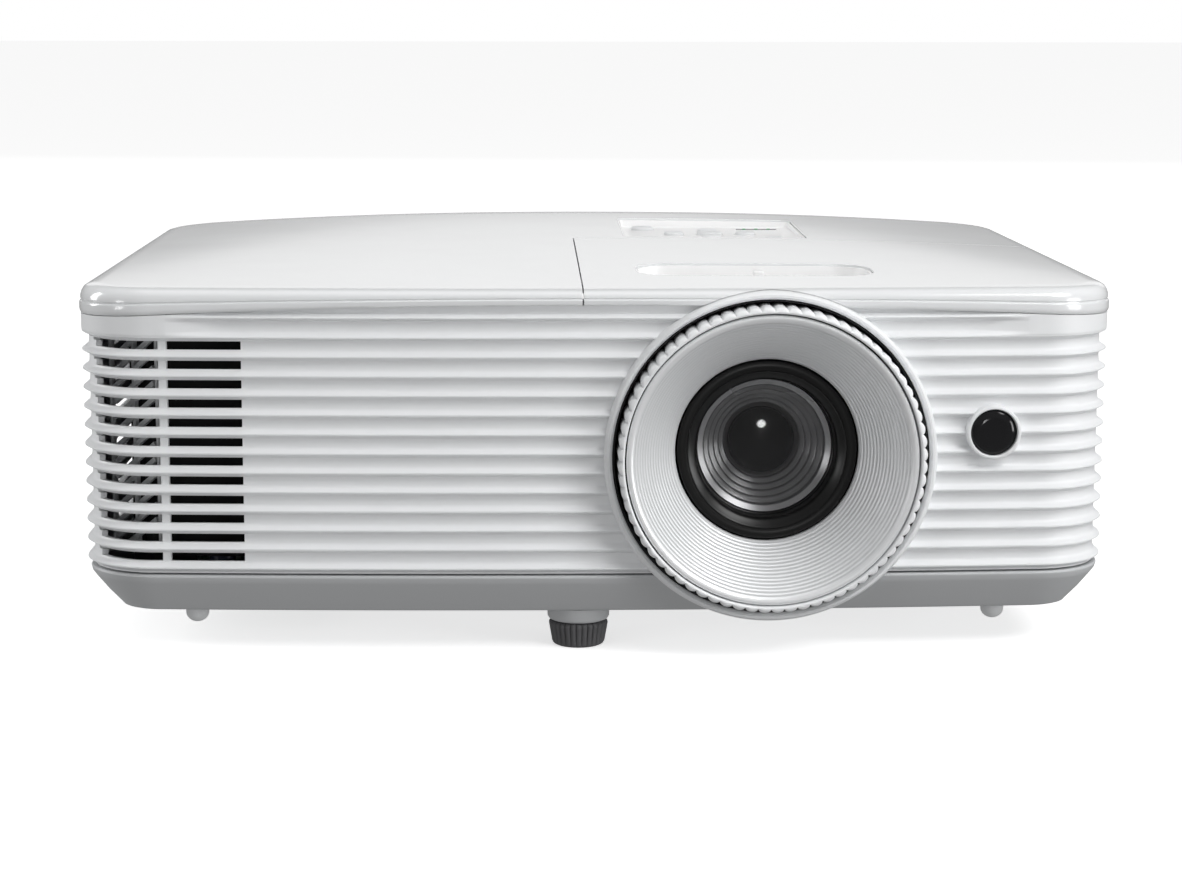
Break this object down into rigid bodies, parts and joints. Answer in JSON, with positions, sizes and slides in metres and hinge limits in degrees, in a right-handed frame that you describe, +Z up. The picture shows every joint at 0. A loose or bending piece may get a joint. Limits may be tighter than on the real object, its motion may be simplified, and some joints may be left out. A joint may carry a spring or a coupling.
{
  "type": "home projector",
  "caption": "Compact home projector with a ribbed white case, a large knurled focus ring in a recessed dish, a zoom lever slot, a keypad and screw feet.",
  "frame": {"origin": "centre of the bounding box on the surface that the projector stands on", "axes": "+X to the right seen from in front, lens facing -Y, +Z up"},
  "size_m": [0.3168, 0.244, 0.118],
  "materials": {
    "white_plastic": "fine satin",
    "gloss_white_plastic": "polished",
    "grey_plastic": "satin",
    "ring_plastic": "satin",
    "black_plastic": "satin",
    "satin_aluminium": "fine turned",
    "bright_steel": "plated",
    "dark_rubber": "matte",
    "coated_glass": "anti-reflection coated",
    "circuit_board": "solder resist",
    "cast_magnesium": "as cast"
  },
  "bodies": {
    "case": {"bottom_case": "grey_plastic", "bump_left": "grey_plastic", "bump_right": "grey_plastic", "colour_wheel_motor": "bright_steel", "dmd_board": "circuit_board", "dmd_heatsink": "satin_aluminium", "engine_housing": "cast_magnesium", "exhaust_fan_frame": "black_plastic", "front_foot_collar": "grey_plastic", "front_grille": "white_plastic", "hdmi_socket_1": "bright_steel", "hdmi_socket_2": "bright_steel", "ir_bezel": "white_plastic", "ir_window": "black_plastic", "keypad_board": "circuit_board", "keypad_panel": "white_plastic", "lamp_housing": "black_plastic", "lamp_reflector": "satin_aluminium", "left_side_panel": "white_plastic", "lens_barrel": "black_plastic", "lens_surround": "white_plastic", "main_board": "circuit_board", "power_inlet": "black_plastic", "power_supply_board": "circuit_board", "rear_panel": "white_plastic", "right_side_panel": "white_plastic", "speaker": "black_plastic", "status_lights": "black_plastic", "top_cover": "gloss_white_plastic", "usb_socket": "bright_steel", "vent_lattice": "grey_plastic"},
    "focus_group": {"focus_ring": "ring_plastic", "focus_dish": "satin_aluminium"},
    "front_lens_group": {"front_barrel": "black_plastic", "front_element": "coated_glass"},
    "zoom_ring_body": {"zoom_ring": "black_plastic"},
    "zoom_lens_group": {"zoom_barrel": "black_plastic", "zoom_element": "coated_glass"},
    "lamp_lid": {"lamp_cover": "gloss_white_plastic", "zoom_pocket": "white_plastic"},
    "exhaust_rotor": {"exhaust_fan_rotor": "black_plastic"},
    "colour_wheel_rotor": {"colour_wheel": "coated_glass"},
    "front_stud": {"front_foot_stud": "bright_steel"},
    "front_pad": {"front_foot_pad": "dark_rubber"},
    "rear_left_stud": {"rear_foot_left_stud": "bright_steel"},
    "rear_left_pad": {"rear_foot_left_pad": "dark_rubber"},
    "rear_right_stud": {"rear_foot_right_stud": "bright_steel"},
    "rear_right_pad": {"rear_foot_right_pad": "dark_rubber"},
    "key_power": {"button_power": "grey_plastic"},
    "key_menu": {"button_menu": "grey_plastic"},
    "key_source": {"button_source": "grey_plastic"},
    "key_enter": {"button_enter": "grey_plastic"},
    "key_up": {"button_up": "grey_plastic"},
    "key_down": {"button_down": "grey_plastic"},
    "key_left": {"button_left": "grey_plastic"},
    "key_right": {"button_right": "grey_plastic"}
  },
  "joints": [
    {"name": "focus_turn", "type": "hinge", "parent": "case", "child": "focus_group", "pos_m": [0.0518, -0.11, 0.062], "axis": [0, 1, 0], "range_deg": [-40, 40]},
    {"name": "focus_travel", "type": "slide", "parent": "case", "child": "front_lens_group", "axis": [0, -1, 0], "range_m": [-0.0016, 0.0016]},
    {"name": "zoom_turn", "type": "hinge", "parent": "case", "child": "zoom_ring_body", "pos_m": [0.0518, -0.065, 0.062], "axis": [0, 1, 0], "range_deg": [-22, 22]},
    {"name": "zoom_travel", "type": "slide", "parent": "case", "child": "zoom_lens_group", "axis": [0, -1, 0], "range_m": [-0.006, 0.006]},
    {"name": "lamp_cover_lift", "type": "slide", "parent": "case", "child": "lamp_lid", "axis": [0, 0, 1], "range_m": [0, 0.06]},
    {"name": "exhaust_fan_spin", "type": "hinge", "parent": "case", "child": "exhaust_rotor", "pos_m": [-0.1375, -0.022, 0.058], "axis": [1, 0, 0], "continuous": true},
    {"name": "colour_wheel_spin", "type": "hinge", "parent": "case", "child": "colour_wheel_rotor", "pos_m": [0.0966, 0.006, 0.052], "axis": [1, 0, 0], "continuous": true},
    {"name": "front_foot_extend", "type": "slide", "parent": "case", "child": "front_stud", "axis": [0, 0, -1], "range_m": [0, 0.0105]},
    {"name": "front_foot_turn", "type": "hinge", "parent": "front_stud", "child": "front_pad", "pos_m": [-0.0057, -0.093, 0.004], "axis": [0, 0, 1], "range_deg": [0, 2162]},
    {"name": "rear_left_foot_extend", "type": "slide", "parent": "case", "child": "rear_left_stud", "axis": [0, 0, -1], "range_m": [0, 0.0105]},
    {"name": "rear_left_foot_turn", "type": "hinge", "parent": "rear_left_stud", "child": "rear_left_pad", "pos_m": [-0.12, 0.092, 0.004], "axis": [0, 0, 1], "range_deg": [0, 2162]},
    {"name": "rear_right_foot_extend", "type": "slide", "parent": "case", "child": "rear_right_stud", "axis": [0, 0, -1], "range_m": [0, 0.0105]},
    {"name": "rear_right_foot_turn", "type": "hinge", "parent": "rear_right_stud", "child": "rear_right_pad", "pos_m": [0.12, 0.092, 0.004], "axis": [0, 0, 1], "range_deg": [0, 2162]},
    {"name": "press_power", "type": "slide", "parent": "case", "child": "key_power", "axis": [0, 0, -1], "range_m": [0, 0.0008], "stiffness_N_per_m": 400, "springref_m": -0.0003},
    {"name": "press_menu", "type": "slide", "parent": "case", "child": "key_menu", "axis": [0, 0, -1], "range_m": [0, 0.0008], "stiffness_N_per_m": 400, "springref_m": -0.0003},
    {"name": "press_source", "type": "slide", "parent": "case", "child": "key_source", "axis": [0, 0, -1], "range_m": [0, 0.0008], "stiffness_N_per_m": 400, "springref_m": -0.0003},
    {"name": "press_enter", "type": "slide", "parent": "case", "child": "key_enter", "axis": [0, 0, -1], "range_m": [0, 0.0008], "stiffness_N_per_m": 400, "springref_m": -0.0003},
    {"name": "press_up", "type": "slide", "parent": "case", "child": "key_up", "axis": [0, 0, -1], "range_m": [0, 0.0008], "stiffness_N_per_m": 400, "springref_m": -0.0003},
    {"name": "press_down", "type": "slide", "parent": "case", "child": "key_down", "axis": [0, 0, -1], "range_m": [0, 0.0008], "stiffness_N_per_m": 400, "springref_m": -0.0003},
    {"name": "press_left", "type": "slide", "parent": "case", "child": "key_left", "axis": [0, 0, -1], "range_m": [0, 0.0008], "stiffness_N_per_m": 400, "springref_m": -0.0003},
    {"name": "press_right", "type": "slide", "parent": "case", "child": "key_right", "axis": [0, 0, -1], "range_m": [0, 0.0008], "stiffness_N_per_m": 400, "springref_m": -0.0003}
  ],
  "couplings": [
    {"joint": "focus_travel", "follows": "focus_turn", "m_per_rad": 0.002},
    {"joint": "zoom_travel", "follows": "zoom_turn", "m_per_rad": 0.013},
    {"joint": "front_foot_turn", "follows": "front_foot_extend", "rad_per_m": 3590.4},
    {"joint": "rear_left_foot_turn", "follows": "rear_left_foot_extend", "rad_per_m": 3590.4},
    {"joint": "rear_right_foot_turn", "follows": "rear_right_foot_extend", "rad_per_m": 3590.4}
  ]
}
